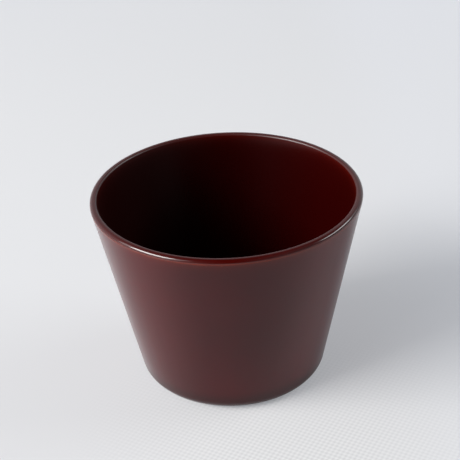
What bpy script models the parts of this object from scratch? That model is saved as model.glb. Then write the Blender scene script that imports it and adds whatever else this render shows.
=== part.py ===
"""Lacquered wooden sake cup.

A turned wooden core carries two coats of lacquer: a red undercoat and, over it, a brown top coat. Each coat
is brushed on in four areas: the inside, the rim, the outside and the underside. Nothing on a cup moves.

Every piece is turned about the Z axis. The finished section is one chain of corners, from the middle of the
inside floor, up and over the rim, and down to the middle of the underside. A film of lacquer lies between
two curves at set depths below that section, and the core is all that lies deeper than the films.

Metres, +Z up. The origin is the middle of the face that the cup stands on.
"""

import math

import bpy
from mathutils import Matrix, Vector

MM = 0.001

# Outside of the finished cup
RIM_DIAMETER = 68.0 * MM  # widest part, across the lip
FOOT_DIAMETER = 47.6 * MM  # where the wall's line would meet the table
HEIGHT = 50.4 * MM
LIP_OUTER_ROUND = 0.85 * MM
LIP_INNER_ROUND = 0.6 * MM
FOOT_ROUND = 3.4 * MM

# Wall and floor, coats included
WALL_AT_RIM = 1.65 * MM
WALL_AT_FLOOR = 3.2 * MM
FLOOR_THICKNESS = 5.0 * MM
INSIDE_ROUND = 8.0 * MM

# Shallow hollow in the underside, which leaves a ring to stand on
HOLLOW_DIAMETER = 34.0 * MM
HOLLOW_DEPTH = 1.0 * MM
HOLLOW_SLOPE = math.radians(35)
HOLLOW_ROUND = 2.0 * MM

# Lacquer
TOPCOAT_THICKNESS = 0.15 * MM
UNDERCOAT_THICKNESS = 0.15 * MM
BOND_GAP = 0.05 * MM  # between neighbouring pieces

# Fineness of the turned pieces
TURN_STEPS = 48
ARC_STEP = math.radians(26)
SHARP_ANGLE = math.radians(40)
MERGE_DISTANCE = 0.001 * MM

# Depths below the finished surface
TOPCOAT_DEPTHS = (0.0, TOPCOAT_THICKNESS)
UNDERCOAT_TOP = TOPCOAT_THICKNESS + BOND_GAP
UNDERCOAT_DEPTHS = (UNDERCOAT_TOP, UNDERCOAT_TOP + UNDERCOAT_THICKNESS)
CORE_DEPTH = UNDERCOAT_DEPTHS[1] + BOND_GAP

# Linear colour, roughness
WOOD_LOOK = ((0.42, 0.25, 0.12, 1.0), 0.6)
UNDERCOAT_LOOK = ((0.30, 0.02, 0.012, 1.0), 0.45)
TOPCOAT_LOOKS = {
    "inner": ((0.035, 0.002, 0.0015, 1.0), 0.22),
    "rim": ((0.045, 0.003, 0.002, 1.0), 0.2),
    "outer": ((0.04, 0.004, 0.003, 1.0), 0.3),
    "base": ((0.02, 0.004, 0.003, 1.0), 0.35),
}


def clear_scene():
    for obj in list(bpy.data.objects):
        bpy.data.objects.remove(obj, do_unlink=True)


def right_of(direction):
    return Vector((direction.y, -direction.x))


def turned_by(vector, angle):
    return Matrix.Rotation(angle, 2) @ vector


def finished_corners():
    """Corners of the finished section as (radius, height), with the rounding of each."""
    foot = Vector((FOOT_DIAMETER / 2, 0.0))
    lip_centre = Vector((RIM_DIAMETER / 2 - LIP_OUTER_ROUND, HEIGHT - LIP_OUTER_ROUND))
    to_lip = lip_centre - foot
    # The wall's line starts at the foot and touches the lip's rounding on its outer side
    wall = turned_by(to_lip, -math.asin(LIP_OUTER_ROUND / to_lip.length)).normalized()
    lip_outer = foot + wall * (HEIGHT / wall.y)
    lip_inner = Vector((RIM_DIAMETER / 2 - WALL_AT_RIM, HEIGHT))
    outer_radius_at_floor = foot.x + FLOOR_THICKNESS * wall.x / wall.y
    inside = Vector((outer_radius_at_floor - WALL_AT_FLOOR, FLOOR_THICKNESS))
    ring = Vector((HOLLOW_DIAMETER / 2, 0.0))
    hollow = Vector((ring.x - HOLLOW_DEPTH / math.tan(HOLLOW_SLOPE), HOLLOW_DEPTH))
    return [
        (Vector((0.0, FLOOR_THICKNESS)), 0.0),
        (inside, INSIDE_ROUND),
        (lip_inner, LIP_INNER_ROUND),
        (lip_outer, LIP_OUTER_ROUND),
        (foot, FOOT_ROUND),
        (ring, HOLLOW_ROUND),
        (hollow, HOLLOW_ROUND),
        (Vector((0.0, HOLLOW_DEPTH)), 0.0),
    ]


def turn_at(before, after):
    """Signed angle from one direction to the next: negative where the chain turns round the wood."""
    return math.atan2(before.cross(after), before.dot(after))


def fitted_roundings(points, roundings, directions):
    """Roundings, made smaller where two of them would meet on the edge between their corners."""
    fitted = list(roundings)
    for i in range(1, len(points) - 2):
        length = (points[i + 1] - points[i]).length
        reach = 0.0
        for j in (i, i + 1):
            reach += roundings[j] * math.tan(abs(turn_at(directions[j - 1], directions[j])) / 2)
        share = min(1.0, length / reach)
        for j in (i, i + 1):
            fitted[j] = min(fitted[j], roundings[j] * share)
    return fitted


def rounded_corner(corner, before, after, radius):
    """Points of the arc that rounds a corner, or the corner itself where no rounding is left."""
    if radius <= 0.0:
        return [corner]
    angle = turn_at(before, after)
    start = corner - before * radius * math.tan(abs(angle) / 2)
    spoke = right_of(before) * math.copysign(radius, angle)
    centre = start - spoke
    steps = math.ceil(abs(angle) / ARC_STEP)
    return [centre + turned_by(spoke, angle * k / steps) for k in range(steps + 1)]


def section_at(depth):
    """The section's corners at a depth below the finished surface, each as a list of points."""
    points, roundings = zip(*finished_corners())
    directions = [(b - a).normalized() for a, b in zip(points, points[1:])]
    roundings = fitted_roundings(points, roundings, directions)
    runs = [[points[0] + right_of(directions[0]) * depth]]
    for i in range(1, len(points) - 1):
        before = directions[i - 1]
        after = directions[i]
        inward = right_of(before) + right_of(after)
        corner = points[i] + inward * depth / (1 + before.dot(after))
        radius = roundings[i] + math.copysign(depth, turn_at(before, after))
        runs.append(rounded_corner(corner, before, after, radius))
    runs.append([points[-1] + right_of(directions[-1]) * depth])
    return runs


def area_curves(depth):
    """The section at a depth, split at the seams between the four areas of lacquer."""
    floor, inside, lip_inner, lip_outer, foot, ring, hollow, underside = section_at(depth)
    return {
        "inner": floor + inside + lip_inner[:1],
        "rim": lip_inner + lip_outer,
        "outer": lip_outer[-1:] + foot[:-1],
        "base": foot[-2:] + ring + hollow + underside,
    }


def eased_end(end, neighbour):
    """The end of a film, drawn back by half the gap at a seam. An end on the axis stays."""
    if end.x == 0.0:
        return end
    return end + (neighbour - end).normalized() * BOND_GAP / 2


def film_profile(area, depths):
    """Outline of a film: along its outer face, and back along the face that is bonded."""
    profile = []
    for depth, step in zip(depths, (1, -1)):
        curve = area_curves(depth)[area]
        first = eased_end(curve[0], curve[1])
        last = eased_end(curve[-1], curve[-2])
        profile += [first, *curve[1:-1], last][::step]
    return profile


def core_profile():
    return [point for run in section_at(CORE_DEPTH) for point in run]


def make_material(name, look):
    colour, roughness = look
    material = bpy.data.materials.new(name)
    material.use_nodes = True
    shader = material.node_tree.nodes["Principled BSDF"]
    shader.inputs["Base Color"].default_value = colour
    shader.inputs["Roughness"].default_value = roughness
    shader.inputs["Metallic"].default_value = 0.0
    material.diffuse_color = colour
    return material


def turned_piece(name, profile, look, collection):
    """A solid of revolution. A profile that ends on the axis is left open there."""
    last = len(profile) - 1
    edges = [(i, i + 1) for i in range(last)]
    if profile[0].x > 0.0:
        edges.append((last, 0))
    outline = bpy.data.meshes.new(name + "_profile")
    outline.from_pydata([(point.x, 0.0, point.y) for point in profile], edges, [])
    piece = bpy.data.objects.new(name, outline)
    collection.objects.link(piece)

    screw = piece.modifiers.new("Turn", "SCREW")
    screw.axis = "Z"
    screw.steps = TURN_STEPS
    screw.render_steps = TURN_STEPS
    screw.use_merge_vertices = True
    screw.merge_threshold = MERGE_DISTANCE
    evaluated = piece.evaluated_get(bpy.context.evaluated_depsgraph_get())
    turned = bpy.data.meshes.new_from_object(evaluated)
    piece.modifiers.remove(screw)
    piece.data = turned
    bpy.data.meshes.remove(outline)

    turned.name = name
    turned.shade_smooth()
    turned.set_sharp_from_angle(angle=SHARP_ANGLE)
    turned.materials.append(make_material(name, look))
    return piece


def main():
    clear_scene()
    cup = bpy.data.collections.new("sake_cup")
    bpy.context.scene.collection.children.link(cup)
    turned_piece("wood_core", core_profile(), WOOD_LOOK, cup)
    for area, topcoat_look in TOPCOAT_LOOKS.items():
        turned_piece(area + "_undercoat", film_profile(area, UNDERCOAT_DEPTHS), UNDERCOAT_LOOK, cup)
        turned_piece(area + "_topcoat", film_profile(area, TOPCOAT_DEPTHS), topcoat_look, cup)


main()
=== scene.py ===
# %% [markdown]
# # A lacquered sake cup
# The cup is turned from wood, brushed with a red undercoat, and finished with a brown top coat that
# light can pass through. This lesson dresses the cup's solids. It sets a camera, a floor and soft
# light, and then makes a procedural finish and a fine surface for each film of lacquer and for the
# wood under it.
#
# The solids come first, because every surface below has to sit where they are.

# %% Load the solids
import math

import bmesh
import bpy
from mathutils import Matrix, Vector


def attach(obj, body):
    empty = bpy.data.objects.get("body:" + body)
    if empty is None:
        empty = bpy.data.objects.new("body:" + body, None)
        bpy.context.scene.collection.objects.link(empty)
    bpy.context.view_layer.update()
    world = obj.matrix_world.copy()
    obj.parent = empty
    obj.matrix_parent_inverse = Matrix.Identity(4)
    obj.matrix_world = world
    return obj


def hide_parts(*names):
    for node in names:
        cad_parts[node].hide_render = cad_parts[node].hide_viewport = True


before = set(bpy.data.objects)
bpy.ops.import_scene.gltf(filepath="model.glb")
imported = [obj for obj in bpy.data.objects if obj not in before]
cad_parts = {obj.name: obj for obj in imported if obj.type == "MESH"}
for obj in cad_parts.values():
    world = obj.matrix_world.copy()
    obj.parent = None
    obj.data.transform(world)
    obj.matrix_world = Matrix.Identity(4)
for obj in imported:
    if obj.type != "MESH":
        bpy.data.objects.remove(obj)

MM = 0.001
scene = bpy.context.scene
scene.view_settings.view_transform = "Standard"
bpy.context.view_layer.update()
print("solids:", ", ".join(sorted(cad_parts)))

# %% [markdown]
# ## Camera
# The cup fills most of a square picture and is seen from about thirty degrees above the table. The
# picture is turned by a few degrees, as a hand-held one is. Where the camera stands can be guessed by
# eye and nudged, or worked out from the outline: the flat ellipse of the rim gives the height of the
# view, the rounder one of the foot gives the distance, and the slope between the rim's two ends gives
# the turn. The values below come from such a fit, which stays within half a pixel of the outline.

# %% Camera
AIM = Vector((0.53, 0.0, 38.8)) * MM
DISTANCE = 303.5 * MM
ELEVATION = math.radians(30.04)
TURN = math.radians(-2.61)
LENS = 93.5  # millimetres, like the sensor's width
SENSOR_WIDTH = 36.0
NEAREST = 10 * MM

camera = bpy.data.objects.new("camera", bpy.data.cameras.new("camera"))
camera.data.lens = LENS
camera.data.sensor_width = SENSOR_WIDTH
camera.data.clip_start = NEAREST
lean_back = Matrix.Rotation(math.pi / 2 - ELEVATION, 4, "X")
stand = AIM + lean_back @ Vector((0.0, 0.0, DISTANCE))
camera.matrix_world = Matrix.Translation(stand) @ lean_back @ Matrix.Rotation(TURN, 4, "Z")
scene.collection.objects.link(camera)
scene.camera = camera
print("camera at, in mm:", [round(side / MM, 1) for side in stand])

# %% [markdown]
# ## Shader arithmetic
# A finish that varies over a surface is a formula: so much red here, so much gloss there. Node by
# node, such a formula takes a page. A small class that wraps one socket makes it a line of Python:
# adding two terms adds a Math node, and any other node comes from one method.

# %% Shader arithmetic
class Term:
    """One output of a shader tree, for use in Python arithmetic."""

    def __init__(self, tree, socket):
        self.tree = tree
        self.socket = socket

    def node(self, kind, settings, sockets, output=0):
        """Add a node: first its settings, then the values or links of its sockets."""
        made = self.tree.nodes.new(kind)
        for name, value in settings.items():
            setattr(made, name, value)
        for name, value in sockets.items():
            if isinstance(value, Term):
                self.tree.links.new(value.socket, made.inputs[name])
            else:
                made.inputs[name].default_value = value
        return Term(self.tree, made.outputs[output])

    def math(self, operation, *values):
        return self.node("ShaderNodeMath", {"operation": operation}, dict(enumerate(values)))

    def __add__(self, other):
        return self.math("ADD", self, other)

    def __radd__(self, other):
        return self.math("ADD", other, self)

    def __sub__(self, other):
        return self.math("SUBTRACT", self, other)

    def __rsub__(self, other):
        return self.math("SUBTRACT", other, self)

    def __mul__(self, other):
        return self.math("MULTIPLY", self, other)

    def __rmul__(self, other):
        return self.math("MULTIPLY", other, self)

    def __pow__(self, other):
        return self.math("POWER", self, other)

# %% [markdown]
# A few shapes of formula come back in every finish: a soft step from one value to another, a glow that
# fades with distance, a cloudy pattern that can be stretched into brush strokes, and a blend of two
# colours. Lengths are in millimetres, so that each number can be checked against the real cup.

# %% Helpers for patterns
FINE_SHARE = 0.55  # how much each finer layer of a cloudy pattern counts
SHARP = 0.001  # a step so narrow that it is an edge


def axis(vector, letter):
    return vector.node("ShaderNodeSeparateXYZ", {}, {0: vector}, letter)


def scaled(vector, factor):
    return vector.node("ShaderNodeVectorMath", {"operation": "SCALE"}, {0: vector, "Scale": factor})


def step(value, nothing, all_of_it):
    """A soft step: 0 where the value is `nothing`, and 1 where it is `all_of_it`."""
    ends = {"Value": value, "From Min": nothing, "From Max": all_of_it}
    return value.node("ShaderNodeMapRange", {"interpolation_type": "SMOOTHSTEP"}, ends)


def fading(distance, reach):
    """1 at no distance, falling to about a third at the reach."""
    return distance.math("EXPONENT", distance * (-1.0 / reach))


def clouds(place, grain, detail=3.0, shift=0.0):
    """A cloudy pattern about 0 to 1 whose clouds measure `grain` along X, Y and Z.

    Another shift gives other clouds, so that two patterns of a finish don't match.
    """
    fitted = place.node(
        "ShaderNodeVectorMath", {"operation": "MULTIPLY_ADD"},
        {0: place, 1: [1.0 / side for side in grain], 2: (shift, shift, shift)})
    sockets = {"Vector": fitted, "Scale": 1.0, "Detail": detail, "Roughness": FINE_SHARE}
    return place.node("ShaderNodeTexNoise", {"noise_dimensions": "3D"}, sockets)


def dots(place, spacing, size, share):
    """Small round dots, 1 in their middle. Only a share of the places on a loose grid has one."""
    grid = {"Vector": scaled(place, 1.0 / spacing), "Scale": 1.0}
    from_middle = place.node("ShaderNodeTexVoronoi", {}, grid, "Distance")
    lot = axis(place.node("ShaderNodeTexVoronoi", {}, grid, "Color"), "X")
    return step(from_middle, size / spacing, 0.0) * step(lot, share + SHARP, share)


def blend(share, first, second):
    """A colour: the first where the share is 0, and the second where it is 1."""
    # A Mix node has sockets for numbers, vectors and colours. 6, 7 and output 2 are those for colours.
    return share.node("ShaderNodeMix", {"data_type": "RGBA"}, {0: share, 6: first, 7: second}, 2)

# %% Helpers for finishes
SHADER = "Principled BSDF"


def new_finish(name, constants):
    """A material whose shader has its constants set, and the place on the piece in millimetres."""
    finish = bpy.data.materials.new(name)
    finish.use_nodes = True
    tree = finish.node_tree
    for socket, value in constants.items():
        tree.nodes[SHADER].inputs[socket].default_value = value
    here = Term(tree, tree.nodes.new("ShaderNodeTexCoord").outputs["Object"])
    return finish, scaled(here, 1 / MM)


def put_on(finish, colour, roughness, relief):
    """Link what varies over the surface. The relief is a height in millimetres."""
    tree = finish.node_tree
    bump = relief.node("ShaderNodeBump", {}, {"Height": relief, "Distance": MM, "Strength": 1.0})
    for name, term in (("Base Color", colour), ("Roughness", roughness), ("Normal", bump)):
        tree.links.new(term.socket, tree.nodes[SHADER].inputs[name])
    print(finish.name, "has", len(tree.nodes), "nodes")

# %% [markdown]
# ## Floor
# The cup stands on a pale woven cloth. One large sheet is enough for it, a hair under the cup so that
# the two never share a face. Two crossed waves give the weave. In front and a little to the right,
# where the light grazes the threads, they can be told apart; elsewhere they melt into one tone, so the
# waves fade out.

# %% Floor
FLOOR_REACH = 3.0  # metres
FLOOR_GAP = 0.02 * MM

floor_mesh = bpy.data.meshes.new("floor")
signs = ((-1, -1), (1, -1), (1, 1), (-1, 1))
corners = [(x * FLOOR_REACH, y * FLOOR_REACH, -FLOOR_GAP) for x, y in signs]
floor_mesh.from_pydata(corners, [], [(0, 1, 2, 3)])
floor = bpy.data.objects.new("floor", floor_mesh)
scene.collection.objects.link(floor)
print("floor reaches", FLOOR_REACH, "m to each side")

# %% Weave
THREAD = 1.14  # from one thread to the next
THREAD_TURN = math.radians(30)
THREAD_GAP = (0.577, 0.573, 0.563, 1.0)
THREAD_TOP = (0.827, 0.821, 0.807, 1.0)
MELTED = (0.733, 0.731, 0.735, 1.0)
CLOTH_GLOSS = {"IOR": 1.5, "Base Color": (0.80, 0.805, 0.82, 1.0), "Roughness": 0.45}

cloth, place = new_finish("pale_cloth", CLOTH_GLOSS)
across = axis(place, "X")
back = axis(place, "Y")
waves = 2 * math.pi / THREAD
straight = waves * math.cos(THREAD_TURN)
slanting = waves * math.sin(THREAD_TURN)
warp = straight * across - slanting * back
weft = slanting * across + straight * back
weave = 0.5 + 0.25 * (warp.math("COSINE", warp) + weft.math("COSINE", weft))
threads = blend(weave, THREAD_GAP, THREAD_TOP)
told_apart = step(back, 14.0, -42.0) * step(across, -48.0, 5.0) * step(across, 75.0, 20.0)
woven = blend(told_apart, MELTED, threads)
print("weave repeats every", THREAD, "mm")

# %% [markdown]
# The cloth isn't dead matt, and that matters for the cup. The wall mirrors the floor, and on its left
# side it looks along the floor towards the lamp, where a slightly glossy floor is brightest. That makes
# the pale left edge of the cup. To the camera itself the cloth is matt. A third of what the camera sees
# is the cloth's own pale tone, without shade, which keeps the shadow as light as a bright room leaves
# it. To the right it turns a little blue, as daylight does in a shadow. Far from the cup the plain tone
# takes over, and the room has it too, so that no view shows where the sheet ends.

# %% Distance and rays
def from_axis(place):
    """Distance from the cup's axis."""
    flat = {0: place, 1: (1.0, 1.0, 0.0)}
    level = place.node("ShaderNodeVectorMath", {"operation": "MULTIPLY"}, flat)
    return place.node("ShaderNodeVectorMath", {"operation": "LENGTH"}, {0: level}, "Value")


def ray_kind(tree, kind):
    """1 for rays of one kind, and 0 for all others."""
    return Term(tree, tree.nodes.new("ShaderNodeLightPath").outputs["Is " + kind + " Ray"])


def seen_rays(tree, glossy):
    """1 for rays by which the picture shows a surface, and 0 for light. Reflections count by a share."""
    mirrored = ray_kind(tree, "Glossy") * glossy
    return ray_kind(tree, "Camera") + ray_kind(tree, "Transmission") + mirrored

# %% Cloth
PALE = (0.75, 0.77, 0.82, 1.0)
BLUISH = (0.79, 0.82, 0.90, 1.0)
OWN_TONE = 0.34  # share of the cloth's own tone in what the camera sees near the cup
MIRRORED = 0.2  # the part of that share that a reflection shows
FAR_STARTS = 150.0  # from the cup's axis: here the plain tone starts to take over
FAR_ENDS = 600.0  # and here it is all that shows

tree = cloth.node_tree
sheen = Term(tree, tree.nodes[SHADER].outputs["BSDF"])
matt = place.node("ShaderNodeBsdfDiffuse", {}, {"Color": woven})
lit = place.node("ShaderNodeMixShader", {}, {0: ray_kind(tree, "Camera"), 1: sheen, 2: matt})
far_off = step(from_axis(place), FAR_STARTS, FAR_ENDS)
tone = blend(step(across, 30.0, 75.0) * (1.0 - far_off), PALE, BLUISH)
pale = place.node("ShaderNodeEmission", {}, {"Color": tone, "Strength": 1.0})
plain = (1.0 - OWN_TONE) * far_off * ray_kind(tree, "Camera")
share = OWN_TONE * seen_rays(tree, MIRRORED) + plain
mixed = place.node("ShaderNodeMixShader", {}, {0: share, 1: lit, 2: pale})
tree.links.new(mixed.socket, tree.nodes["Material Output"].inputs["Surface"])
floor_mesh.materials.append(cloth)
print(cloth.name, "has", len(tree.nodes), "nodes")

# %% [markdown]
# ## Light
# The shadow falls to the right and a little back, so the main lamp stands at the left and a little in
# front. The bright streak on the rim says how high it is and how wide: the rim is a ring-shaped mirror,
# and each point of it shows another part of the room. It also shows a weaker lamp at the right, and
# almost nothing overhead. A lamp behind a cloth has no sharp edge, so each of the two is a bright middle
# inside a wide, dim halo.

# %% Lamps
LAMP_DISTANCE = 1.5  # metres
WARM = (1.0, 0.99, 0.98)
COOL = (0.96, 0.98, 1.0)


def softbox(name, heading, height, spread, radiance, colour):
    """A large lamp, placed by its heading and height in degrees, and sized by the angles it fills."""
    width, tall = (2 * LAMP_DISTANCE * math.tan(math.radians(angle / 2)) for angle in spread)
    data = bpy.data.lights.new(name, "AREA")
    data.shape = "RECTANGLE"
    data.size = width
    data.size_y = tall
    data.energy = radiance * math.pi * width * tall
    data.color = colour
    lamp = bpy.data.objects.new(name, data)
    turn = Matrix.Rotation(math.radians(90 + heading), 4, "Z")
    tilt = Matrix.Rotation(math.radians(90 - height), 4, "X")
    away = Matrix.Translation((0.0, 0.0, LAMP_DISTANCE))
    lamp.matrix_world = Matrix.Translation(AIM) @ turn @ tilt @ away
    lamp.visible_camera = False
    scene.collection.objects.link(lamp)
    print(name, "lamp", round(width, 2), "by", round(tall, 2), "m,", round(data.energy, 1), "W")


softbox("left", heading=202.5, height=31, spread=(32, 23), radiance=14.4, colour=WARM)
softbox("left_halo", heading=202, height=31, spread=(54, 34), radiance=2.45, colour=WARM)
softbox("right", heading=12, height=28, spread=(34, 15), radiance=5.4, colour=COOL)
softbox("right_halo", heading=16, height=28, spread=(50, 20), radiance=0.9, colour=COOL)

# %% [markdown]
# The room itself is bright at its sides, more so at the left, and dark overhead. Behind the cup it is
# bright low down, and the front lip mirrors that as a fine pale line along its inner edge. A picture of
# a room could light the cup too, but a formula of the direction keeps each of these apart. To the camera
# the room is one pale tone, and a reflection shows that tone only at the horizon and below.

# %% World
ROOM_TINT = (0.92, 0.96, 1.0)

world = bpy.data.worlds.new("room")
world.use_nodes = True
scene.world = world
room = world.node_tree
way = Term(room, room.nodes.new("ShaderNodeTexCoord").outputs["Generated"])
aside = axis(way, "X")
behind = axis(way, "Y")
above = axis(way, "Z")
side_walls = (0.6 - 0.4 * aside) * aside.math("ABSOLUTE", aside) ** 1.5
rear_wall = 0.8 * step(above, 0.85, 0.35) * behind.math("MAXIMUM", behind, 0.0) ** 2
glow = (side_walls + rear_wall) * step(above, -0.02, 0.02)
tinted = glow.node("ShaderNodeVectorMath", {"operation": "SCALE"}, {0: ROOM_TINT, "Scale": glow})
lit = way.node("ShaderNodeBackground", {}, {"Color": tinted, "Strength": 1.0})
pale = way.node("ShaderNodeBackground", {}, {"Color": PALE, "Strength": 1.0})
seen = seen_rays(room, step(above, 0.05, 0.0))
mixed = way.node("ShaderNodeMixShader", {}, {0: seen, 1: lit, 2: pale})
room.links.new(mixed.socket, room.nodes["World Output"].inputs["Surface"])
print(world.name, "has", len(room.nodes), "nodes")

# %% [markdown]
# ## Section
# A turned cup is one line spun about an axis. The line starts in the middle of the inside floor, climbs
# the wall, goes over the lip, down the outside, round the foot and back to the axis under the cup.
# Written as a chain of corners with a rounding each, it takes one list, with the same sizes as the
# solids.

# %% Sizes in millimetres
RIM_RADIUS = 34.0
FOOT_RADIUS = 23.8  # where the wall's line would meet the table
HEIGHT = 50.4
LIP_OUTER_ROUND = 0.85
LIP_INNER_ROUND = 0.6
FOOT_ROUND = 3.4
WALL_AT_RIM = 1.65
WALL_AT_FLOOR = 3.2
FLOOR_THICKNESS = 5.0
INSIDE_ROUND = 8.0
HOLLOW_RADIUS = 17.0
HOLLOW_DEPTH = 1.0
HOLLOW_SLOPE = math.radians(35)
HOLLOW_ROUND = 2.0
print("cup is", 2 * RIM_RADIUS, "mm wide and", HEIGHT, "mm high")

# %% Corners
def turned_by(vector, angle):
    return Matrix.Rotation(angle, 2) @ vector


def finished_corners():
    """Corners of the finished section as (radius, height), each with its rounding."""
    foot = Vector((FOOT_RADIUS, 0.0))
    to_lip = Vector((RIM_RADIUS - LIP_OUTER_ROUND, HEIGHT - LIP_OUTER_ROUND)) - foot
    wall = turned_by(to_lip, -math.asin(LIP_OUTER_ROUND / to_lip.length)).normalized()
    lip_inner = Vector((RIM_RADIUS - WALL_AT_RIM, HEIGHT))
    ring = Vector((HOLLOW_RADIUS, 0.0))
    return [
        (Vector((0.0, FLOOR_THICKNESS)), 0.0),
        (foot + wall * (FLOOR_THICKNESS / wall.y) - Vector((WALL_AT_FLOOR, 0.0)), INSIDE_ROUND),
        (lip_inner, LIP_INNER_ROUND),
        (foot + wall * (HEIGHT / wall.y), LIP_OUTER_ROUND),
        (foot, FOOT_ROUND),
        (ring, HOLLOW_ROUND),
        (ring + Vector((-HOLLOW_DEPTH / math.tan(HOLLOW_SLOPE), HOLLOW_DEPTH)), HOLLOW_ROUND),
        (Vector((0.0, HOLLOW_DEPTH)), 0.0),
    ]


print("section has", len(finished_corners()), "corners")

# %% [markdown]
# A film of lacquer lies between two such lines, one a little deeper than the other. A line at a depth
# has each corner moved along the inner bisector, and each rounding grown or shrunk by the depth. Points
# on the roundings are close together, and points on the straight runs crowd towards the ends, so that
# the shading of a rounding doesn't leak into the flat next to it.

# %% Lines at a depth
ARC_STEP = math.radians(3)
ARC_POINTS = 10  # at least, on any rounding
RUN_POINTS = 24


def right_of(direction):
    return Vector((direction.y, -direction.x))


def rounded(corner, before, after, radius):
    """Points of the arc that rounds a corner."""
    angle = math.atan2(before.cross(after), before.dot(after))
    start = corner - before * radius * math.tan(abs(angle) / 2)
    spoke = right_of(before) * math.copysign(radius, angle)
    count = max(ARC_POINTS, math.ceil(abs(angle) / ARC_STEP))
    return [start - spoke + turned_by(spoke, angle * k / count) for k in range(count + 1)]


def run(start, end):
    """Points between two ends, closer together towards both."""
    shares = [(1 - math.cos(math.pi * k / RUN_POINTS)) / 2 for k in range(1, RUN_POINTS)]
    return [start.lerp(end, share) for share in shares]


def section_at(depth):
    """The section's corners at a depth below the finished surface, each as a list of points."""
    points, roundings = zip(*finished_corners())
    ways = [(b - a).normalized() for a, b in zip(points, points[1:])]
    bends = [[points[0] + right_of(ways[0]) * depth]]
    for point, rounding, before, after in zip(points[1:], roundings[1:], ways, ways[1:]):
        corner = point + (right_of(before) + right_of(after)) * depth / (1 + before.dot(after))
        radius = rounding + math.copysign(depth, before.cross(after))
        bends.append(rounded(corner, before, after, radius))
    bends.append([points[-1] + right_of(ways[-1]) * depth])
    return bends


print("corners of the section take", sum(len(bend) for bend in section_at(0.0)), "points")

# %% [markdown]
# Lacquer is brushed area by area, because one side has to cure before the cup can be held by it. So the
# section is split where the lip's roundings start and end, and three quarters of the way round the
# foot's edge, where a seam stays out of sight.

# %% Brushed areas
def areas_at(depth):
    """The section at a depth, as one list of points for each brushed area."""
    middle, inside, lip_inner, lip_outer, foot, ring, hollow, under = section_at(depth)
    seam = len(foot) * 3 // 4
    inner_wall = run(inside[-1], lip_inner[0]) + lip_inner[:1]
    hollow_flat = run(hollow[-1], under[0]) + under
    return {
        "inner": middle + run(middle[-1], inside[0]) + inside + inner_wall,
        "rim": lip_inner + lip_outer,
        "outer": lip_outer[-1:] + run(lip_outer[-1], foot[0]) + foot[:seam + 1],
        "base": foot[seam:] + run(foot[-1], ring[0]) + ring + hollow + hollow_flat,
    }


LIP_EDGE = areas_at(0.0)["outer"][0]
print("the lip's outer edge is at radius and height", [round(side, 3) for side in LIP_EDGE])

# %% [markdown]
# ## Lathe
# Blender has a Screw modifier that spins a line. A small Geometry Nodes tree does the same and shows the
# rule: every point of the line remembers its radius and height, every point of a circle remembers its
# direction, and each point of the swept grid is put where the two say. Points that fall together on the
# axis are merged.

# %% Lathe tree
MERGE_WITHIN = 0.001 * MM


def lathe_tree():
    tree = bpy.data.node_groups.new("lathe", "GeometryNodeTree")
    for name, kind in (("Line", "Geometry"), ("Steps around", "Int"), ("Finish", "Material")):
        tree.interface.new_socket(name, in_out="INPUT", socket_type="NodeSocket" + kind)
    tree.interface.new_socket("Piece", in_out="OUTPUT", socket_type="NodeSocketGeometry")

    def add(kind, links, **settings):
        made = tree.nodes.new(kind)
        for name, value in settings.items():
            setattr(made, name, value)
        for name, source in links.items():
            tree.links.new(source, made.inputs[name])
        return made

    def remember(curve, label):
        """Keep each point's position under a label, so that it survives the sweep."""
        where = add("GeometryNodeInputPosition", {}).outputs[0]
        keep = add("GeometryNodeCaptureAttribute", {})
        keep.capture_items.new("VECTOR", label)
        tree.links.new(curve, keep.inputs["Geometry"])
        tree.links.new(where, keep.inputs[label])
        return keep.outputs["Geometry"], keep.outputs[label]

    given = add("NodeGroupInput", {}).outputs
    line = add("GeometryNodeMeshToCurve", {"Mesh": given["Line"]}).outputs[0]
    line, on_line = remember(line, "On line")
    steps = {"Resolution": given["Steps around"]}
    circle = add("GeometryNodeCurvePrimitiveCircle", steps).outputs[0]
    circle, on_circle = remember(circle, "On circle")
    grid = add("GeometryNodeCurveToMesh", {"Curve": circle, "Profile Curve": line}).outputs[0]

    size = add("ShaderNodeSeparateXYZ", {0: on_line}).outputs
    spread = {0: on_circle, "Scale": size["X"]}
    outward = add("ShaderNodeVectorMath", spread, operation="SCALE").outputs[0]
    upward = add("ShaderNodeCombineXYZ", {"Z": size["Z"]}).outputs[0]
    spot = add("ShaderNodeVectorMath", {0: outward, 1: upward}, operation="ADD").outputs[0]
    spun = add("GeometryNodeSetPosition", {"Geometry": grid, "Position": spot}).outputs[0]
    merged = add("GeometryNodeMergeByDistance", {"Geometry": spun})
    merged.inputs["Distance"].default_value = MERGE_WITHIN
    real = add("GeometryNodeRealizeInstances", {"Geometry": merged.outputs[0]}).outputs[0]
    finish = {"Geometry": real, "Material": given["Finish"]}
    coated = add("GeometryNodeSetMaterial", finish).outputs[0]
    add("NodeGroupOutput", {"Piece": coated})
    return tree


LATHE = lathe_tree()
sockets = LATHE.interface.items_tree
LATHE_INPUTS = {socket.name: socket.identifier for socket in sockets if socket.in_out == "INPUT"}
print("lathe tree has", len(LATHE.nodes), "nodes and takes", ", ".join(LATHE_INPUTS))

# %% [markdown]
# The tree's result is turned into a plain mesh, and the modifier is dropped. A line that starts on the
# axis ends there too, and any other is closed into a loop. The faces are turned outward at the end,
# because a spun line doesn't know which of its sides is the outside.

# %% Turn one piece
STEPS_AROUND = 256
CREASE = math.radians(40)


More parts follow.
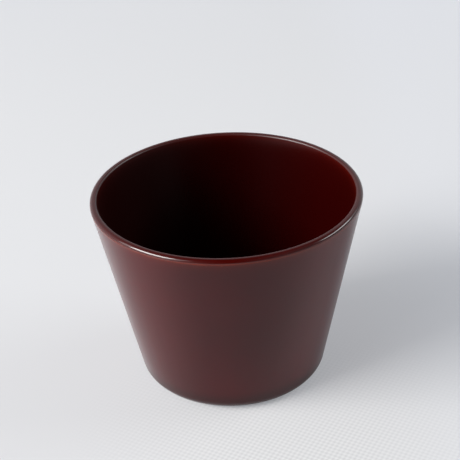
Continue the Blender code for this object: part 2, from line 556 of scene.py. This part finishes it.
def spun_line(name, line, finish):
    """An object whose mesh is a line of (radius, height) points, spun about the axis."""
    last = len(line) - 1
    edges = [(k, k + 1) for k in range(last)]
    if line[0].x > 0:
        edges.append((last, 0))
    drawn = bpy.data.meshes.new(name + "_line")
    drawn.from_pydata([(point.x * MM, 0.0, point.y * MM) for point in line], edges, [])
    piece = bpy.data.objects.new(name, drawn)
    scene.collection.objects.link(piece)
    lathe = piece.modifiers.new("lathe", "NODES")
    lathe.node_group = LATHE
    lathe[LATHE_INPUTS["Steps around"]] = STEPS_AROUND
    lathe[LATHE_INPUTS["Finish"]] = finish
    evaluated = piece.evaluated_get(bpy.context.evaluated_depsgraph_get())
    piece_mesh = bpy.data.meshes.new_from_object(evaluated)
    piece.modifiers.remove(lathe)
    piece.data = piece_mesh
    bpy.data.meshes.remove(drawn)
    piece_mesh.name = name
    return piece


def turned_piece(name, line, finish, node, slot):
    """Spin a line into a piece that stands for a solid of the frame."""
    piece = spun_line(name, line, finish)
    faces = bmesh.new()
    faces.from_mesh(piece.data)
    bmesh.ops.recalc_face_normals(faces, faces=faces.faces)
    volume = faces.calc_volume() / MM ** 3
    faces.to_mesh(piece.data)
    faces.free()
    piece.data.shade_smooth()
    piece.data.set_sharp_from_angle(angle=CREASE)
    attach(piece, "root")
    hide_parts(node)
    print(name, "has", len(piece.data.polygons), "faces and", round(volume, 1), "cubic mm")

# %% [markdown]
# ## Outside lacquer
# The brown coat on the outside is satin: it was left as it flowed from the brush and then handled. It
# looks almost black-brown where it is thick, and redder where it runs thinner at random. The two sides
# are painted lighter and redder, as painted light from the lamps at the left and the right, and the
# wall is also redder low in front. Towards the foot it is painted darker, as painted shade where the
# cup meets the cloth. Over the lip's edge it runs thin, and the red under it shows as an amber line
# that fades within a millimetre or two.
# A texture painted by hand could show that, but a formula of the height below the edge is sharper, and
# it holds from every side.
#
# A satin gloss is often two at once: a broad one from the body of the coat, and a narrower one from the
# skin on top of it, which is smoother. The shader has a coat of its own for the second.

# %% Outside lacquer, patterns
SATIN = {"IOR": 1.21, "Coat Weight": 0.55, "Coat IOR": 1.345, "Coat Roughness": 0.14}


def frayed(place):
    """How thin the brown runs along the lip's edge: one pattern, on both sides of the edge."""
    return 0.4 + clouds(place, (2.2, 2.2, 2.2), shift=3.0)


outside, place = new_finish("brown_lacquer_outside", SATIN)
across = axis(place, "X")
below_edge = LIP_EDGE.y - axis(place, "Z")
depth = clouds(place, (16, 16, 22))
strokes = clouds(place, (26, 26, 0.55), detail=4.0)
waviness = clouds(place, (5, 5, 4), detail=1.0, shift=7.0)
nibs = dots(place, spacing=4.5, size=0.16, share=0.12)
specks = dots(place, spacing=0.9, size=0.2, share=0.25) * step(below_edge, 0.7, 0.2)
print("patterns of the outside take", len(outside.node_tree.nodes), "nodes")

# %% Outside lacquer, colour and gloss
OUTSIDE_THICK = (0.029, 0.0016, 0.0022, 1.0)
OUTSIDE_THIN_AND_SIDE_LIT = (0.070, 0.0018, 0.0030, 1.0)
OUTSIDE_FOOT_SHADE = (0.012, 0.0012, 0.0016, 1.0)
AMBER = (0.15, 0.012, 0.001, 1.0)
NEARLY_BARE = (0.24, 0.05, 0.028, 1.0)

# The two sides are painted lighter and redder as painted light from the lamps at the left and the right.
# The clouds make the coat thinner at random, and the wall is also redder low in front.
painted_light_left = 0.52 * step(across, -6.0, -28.0)
painted_light_right = 0.75 * step(across, 4.0, 26.0)
redder_low_front = 0.35 * step(below_edge, 20.0, 44.0) * step(across, -14.0, 0.0)
thin_coat_and_side_light = 0.5 * depth + painted_light_left + painted_light_right + redder_low_front
thin = (0.4 * fading(below_edge, 0.9) + 0.6 * fading(below_edge, 0.16)) * frayed(place)
# Painted shade: the wall turns darker towards the foot, where the cup meets the cloth.
painted_foot_shade = 0.5 * step(axis(place, "Z"), 6.5, 3.0)
colour = blend(thin_coat_and_side_light, OUTSIDE_THICK, OUTSIDE_THIN_AND_SIDE_LIT)
colour = blend(thin, colour, AMBER)
colour = blend(0.6 * specks, colour, NEARLY_BARE)
colour = blend(painted_foot_shade, colour, OUTSIDE_FOOT_SHADE)
roughness = 0.275 + 0.03 * depth + 0.02 * strokes
relief = 0.0006 * strokes + 0.004 * waviness + 0.012 * nibs
put_on(outside, colour, roughness, relief)

# %% [markdown]
# ## Rim lacquer
# The lip is the glossiest place on its outer side, polished by use, and satin on its inner side. Its
# outer edge is where the brush dragged the brown coat thinnest, so the amber line is brightest there,
# with small specks where the red is nearly bare. The line is uneven, as hand work is. The relief adds a
# fine bead along that edge, as lacquer leaves where it stops flowing. Made as a real ridge, it would
# stand out past the solid that the film replaces.

# %% Rim lacquer
RIM_THICK = (0.041, 0.0018, 0.0013, 1.0)
RIM_THIN = (0.057, 0.0026, 0.0018, 1.0)
BEAD_HEIGHT = 0.1
BEAD_REACH = 0.2

rim, place = new_finish("brown_lacquer_rim", {"IOR": 1.53})
above_edge = axis(place, "Z") - LIP_EDGE.y
inner_side = step(RIM_RADIUS - from_axis(place), 0.9, 1.4)
depth = clouds(place, (9, 9, 9))
waviness = clouds(place, (4, 4, 3), detail=1.0, shift=7.0)
specks = dots(place, spacing=0.9, size=0.2, share=0.3) * step(above_edge, 0.4, 0.1)
thin = fading(above_edge, 0.14) * frayed(place)
colour = blend(depth, RIM_THICK, RIM_THIN)
colour = blend(thin, colour, AMBER)
colour = blend(0.7 * specks, colour, NEARLY_BARE)
roughness = 0.06 + 0.03 * depth + 0.1 * thin + 0.3 * inner_side
relief = 0.003 * waviness + BEAD_HEIGHT * fading(above_edge, BEAD_REACH)
put_on(rim, colour, roughness, relief)

# %% [markdown]
# ## Inside lacquer
# The inside has the deepest colour, a dark red that only shows where the lamp reaches it. It is
# redder where the coat runs thinner at random, and its right half is painted redder, as painted light
# from the lamp at the left falling on that wall. The right half is smoother, and the left half is satin,
# so that the room doesn't stand in it as sharp stripes. It gets redder in the last millimetre under the
# lip, and the relief flares the wall a little there, because a brush pulls the lacquer towards an edge.
# A few specks of dust that settled while it cured stand up as tiny nibs.

# %% Inside lacquer
INSIDE_THICK = (0.0105, 0.0002, 0.0002, 1.0)
INSIDE_THIN_AND_SIDE_LIT = (0.0188, 0.0003, 0.0003, 1.0)
INSIDE_LIP = (0.075, 0.004, 0.002, 1.0)
DUST = (0.12, 0.09, 0.085, 1.0)
FLARE_DEPTH = 0.19
FLARE_REACH = 1.3

inside, place = new_finish("brown_lacquer_inside", {"IOR": 1.26})
across = axis(place, "X")
below_lip = HEIGHT - axis(place, "Z")
depth = clouds(place, (14, 14, 14))
strokes = clouds(place, (30, 30, 0.8), detail=4.0)
waviness = clouds(place, (6, 6, 5), detail=1.0, shift=7.0)
nibs = dots(place, spacing=5.0, size=0.2, share=0.1)
# The right half is painted redder as painted light from the lamp at the left falling on that inner wall.
# The clouds make the coat thinner at random.
rubbing_and_side_light = 0.3 * depth + 0.7 * step(across, 0.0, 30.0)
left_satin = 0.15 * step(across, 5.0, -22.0)
near_lip = 0.85 * fading(below_lip, 0.8) + 0.12 * fading(below_lip, 5.0)
flare = FLARE_DEPTH * fading(below_lip, FLARE_REACH)
colour = blend(rubbing_and_side_light, INSIDE_THICK, INSIDE_THIN_AND_SIDE_LIT)
colour = blend(near_lip, colour, INSIDE_LIP)
colour = blend(0.6 * nibs, colour, DUST)
roughness = 0.15 + 0.05 * depth + left_satin
relief = 0.0004 * strokes + 0.004 * waviness + 0.02 * nibs - flare
put_on(inside, colour, roughness, relief)

# %% [markdown]
# ## Underside lacquer
# The underside is plain and dark. Every time the cup is set down, the ring that it stands on is rubbed:
# it goes dull and a little paler, with fine scratches, while the shallow hollow inside it keeps its
# sheen. A formula finds the ring by its height and its distance from the axis.

# %% Underside lacquer
UNDER_THICK = (0.016, 0.0022, 0.0016, 1.0)
UNDER_THIN = (0.026, 0.0030, 0.0022, 1.0)
SCUFFED = (0.060, 0.024, 0.017, 1.0)

underside, place = new_finish("brown_lacquer_underside", {"IOR": 1.38})
outside_hollow = from_axis(place) - HOLLOW_RADIUS
on_ring = step(axis(place, "Z"), 0.12, 0.0) * step(outside_hollow, -0.4, 1.0)
depth = clouds(place, (12, 12, 12))
one_way = clouds(place, (0.35, 3.5, 1.0), detail=4.0)
other_way = clouds(place, (3.2, 0.4, 1.0), detail=4.0, shift=5.0)
wear = on_ring * step(one_way.math("MAXIMUM", one_way, other_way), 0.42, 0.75)
colour = blend(depth, UNDER_THICK, UNDER_THIN)
colour = blend(wear, colour, SCUFFED)
roughness = 0.24 + 0.06 * depth + 0.25 * wear
relief = 0.003 * clouds(place, (5, 5, 5), detail=1.0) - 0.004 * wear
put_on(underside, colour, roughness, relief)

# %% [markdown]
# ## Red undercoat and wood
# Both are hidden under the brown coat, but they are pieces of the cup, so they get their own finish. The
# red coat is rubbed matt to hold the next one, which leaves fine strokes round the cup. The wood is cut
# with its grain across the cup: growth rings are cylinders about the middle of the trunk, which lies
# below and beside the cup, with fibres along it and dark dashes of open pores.

# %% Red undercoat
RED_THICK = (0.24, 0.014, 0.008, 1.0)
RED_THIN = (0.34, 0.024, 0.014, 1.0)
RED_RUBBED = (0.40, 0.045, 0.03, 1.0)

red, place = new_finish("red_undercoat_rubbed", {"IOR": 1.5})
rubbing_and_side_light = clouds(place, (14, 14, 0.25), detail=5.0)
depth = clouds(place, (8, 8, 8))
colour = blend(depth, RED_THICK, RED_THIN)
colour = blend(0.35 * rubbing_and_side_light, colour, RED_RUBBED)
put_on(red, colour, 0.38 + 0.2 * rubbing_and_side_light, 0.004 * rubbing_and_side_light)

# %% Wood
TRUNK_ASIDE = 24.0
TRUNK_BELOW = 46.0
RING_SPACING = 2.6
EARLY_WOOD = (0.47, 0.29, 0.145, 1.0)
LATE_WOOD = (0.30, 0.155, 0.065, 1.0)
FIBRE = (0.55, 0.36, 0.19, 1.0)
PORE = (0.12, 0.055, 0.022, 1.0)

wood, place = new_finish("turned_wood", {"IOR": 1.5})
bent = clouds(place, (20, 60, 20), detail=2.0)
squares = (axis(place, "X") + TRUNK_ASIDE) ** 2 + (axis(place, "Z") + TRUNK_BELOW) ** 2
from_trunk = squares ** 0.5 + 3.0 * bent
ring_share = from_trunk.math("FRACT", from_trunk * (1 / RING_SPACING))
late = step(ring_share, 0.35, 0.95) * step(ring_share, 1.0, 0.95)
fibres = clouds(place, (0.3, 9.0, 0.3), detail=4.0)
pores = step(clouds(place, (0.22, 3.0, 0.22), detail=2.0, shift=9.0), 0.66, 0.74)
colour = blend(late, EARLY_WOOD, LATE_WOOD)
colour = blend(0.4 * fibres, colour, FIBRE)
colour = blend(0.7 * pores, colour, PORE)
put_on(wood, colour, 0.5 + 0.15 * fibres, 0.01 * fibres - 0.03 * pores)

# %% [markdown]
# ## The pieces
# Eight films and the core, each in the place of the solid with the same job. The depths are those of the
# solids: a top coat, a hair of bond, the undercoat, another hair of bond, and the wood.

# %% Turn the pieces
COAT = 0.15
BOND = 0.05
UNDERCOAT_TOP = COAT + BOND
WOOD_TOP = UNDERCOAT_TOP + COAT + BOND
FINISHES = {"inner": inside, "rim": rim, "outer": outside, "base": underside}


def film(area, top):
    """Outline of a film: along its face, and back along the side that is bonded."""
    return areas_at(top)[area] + areas_at(top + COAT)[area][::-1]


for area, finish in FINISHES.items():
    turned_piece(area + "_lacquer", film(area, 0.0), finish, area + "_topcoat", area + "_lacquer")
    turned_piece(area + "_red", film(area, UNDERCOAT_TOP), red, area + "_undercoat", "red_undercoat")

wood_line = [point for bend in section_at(WOOD_TOP) for point in bend]
turned_piece("turned_core", wood_line, wood, "wood_core", "core_wood")
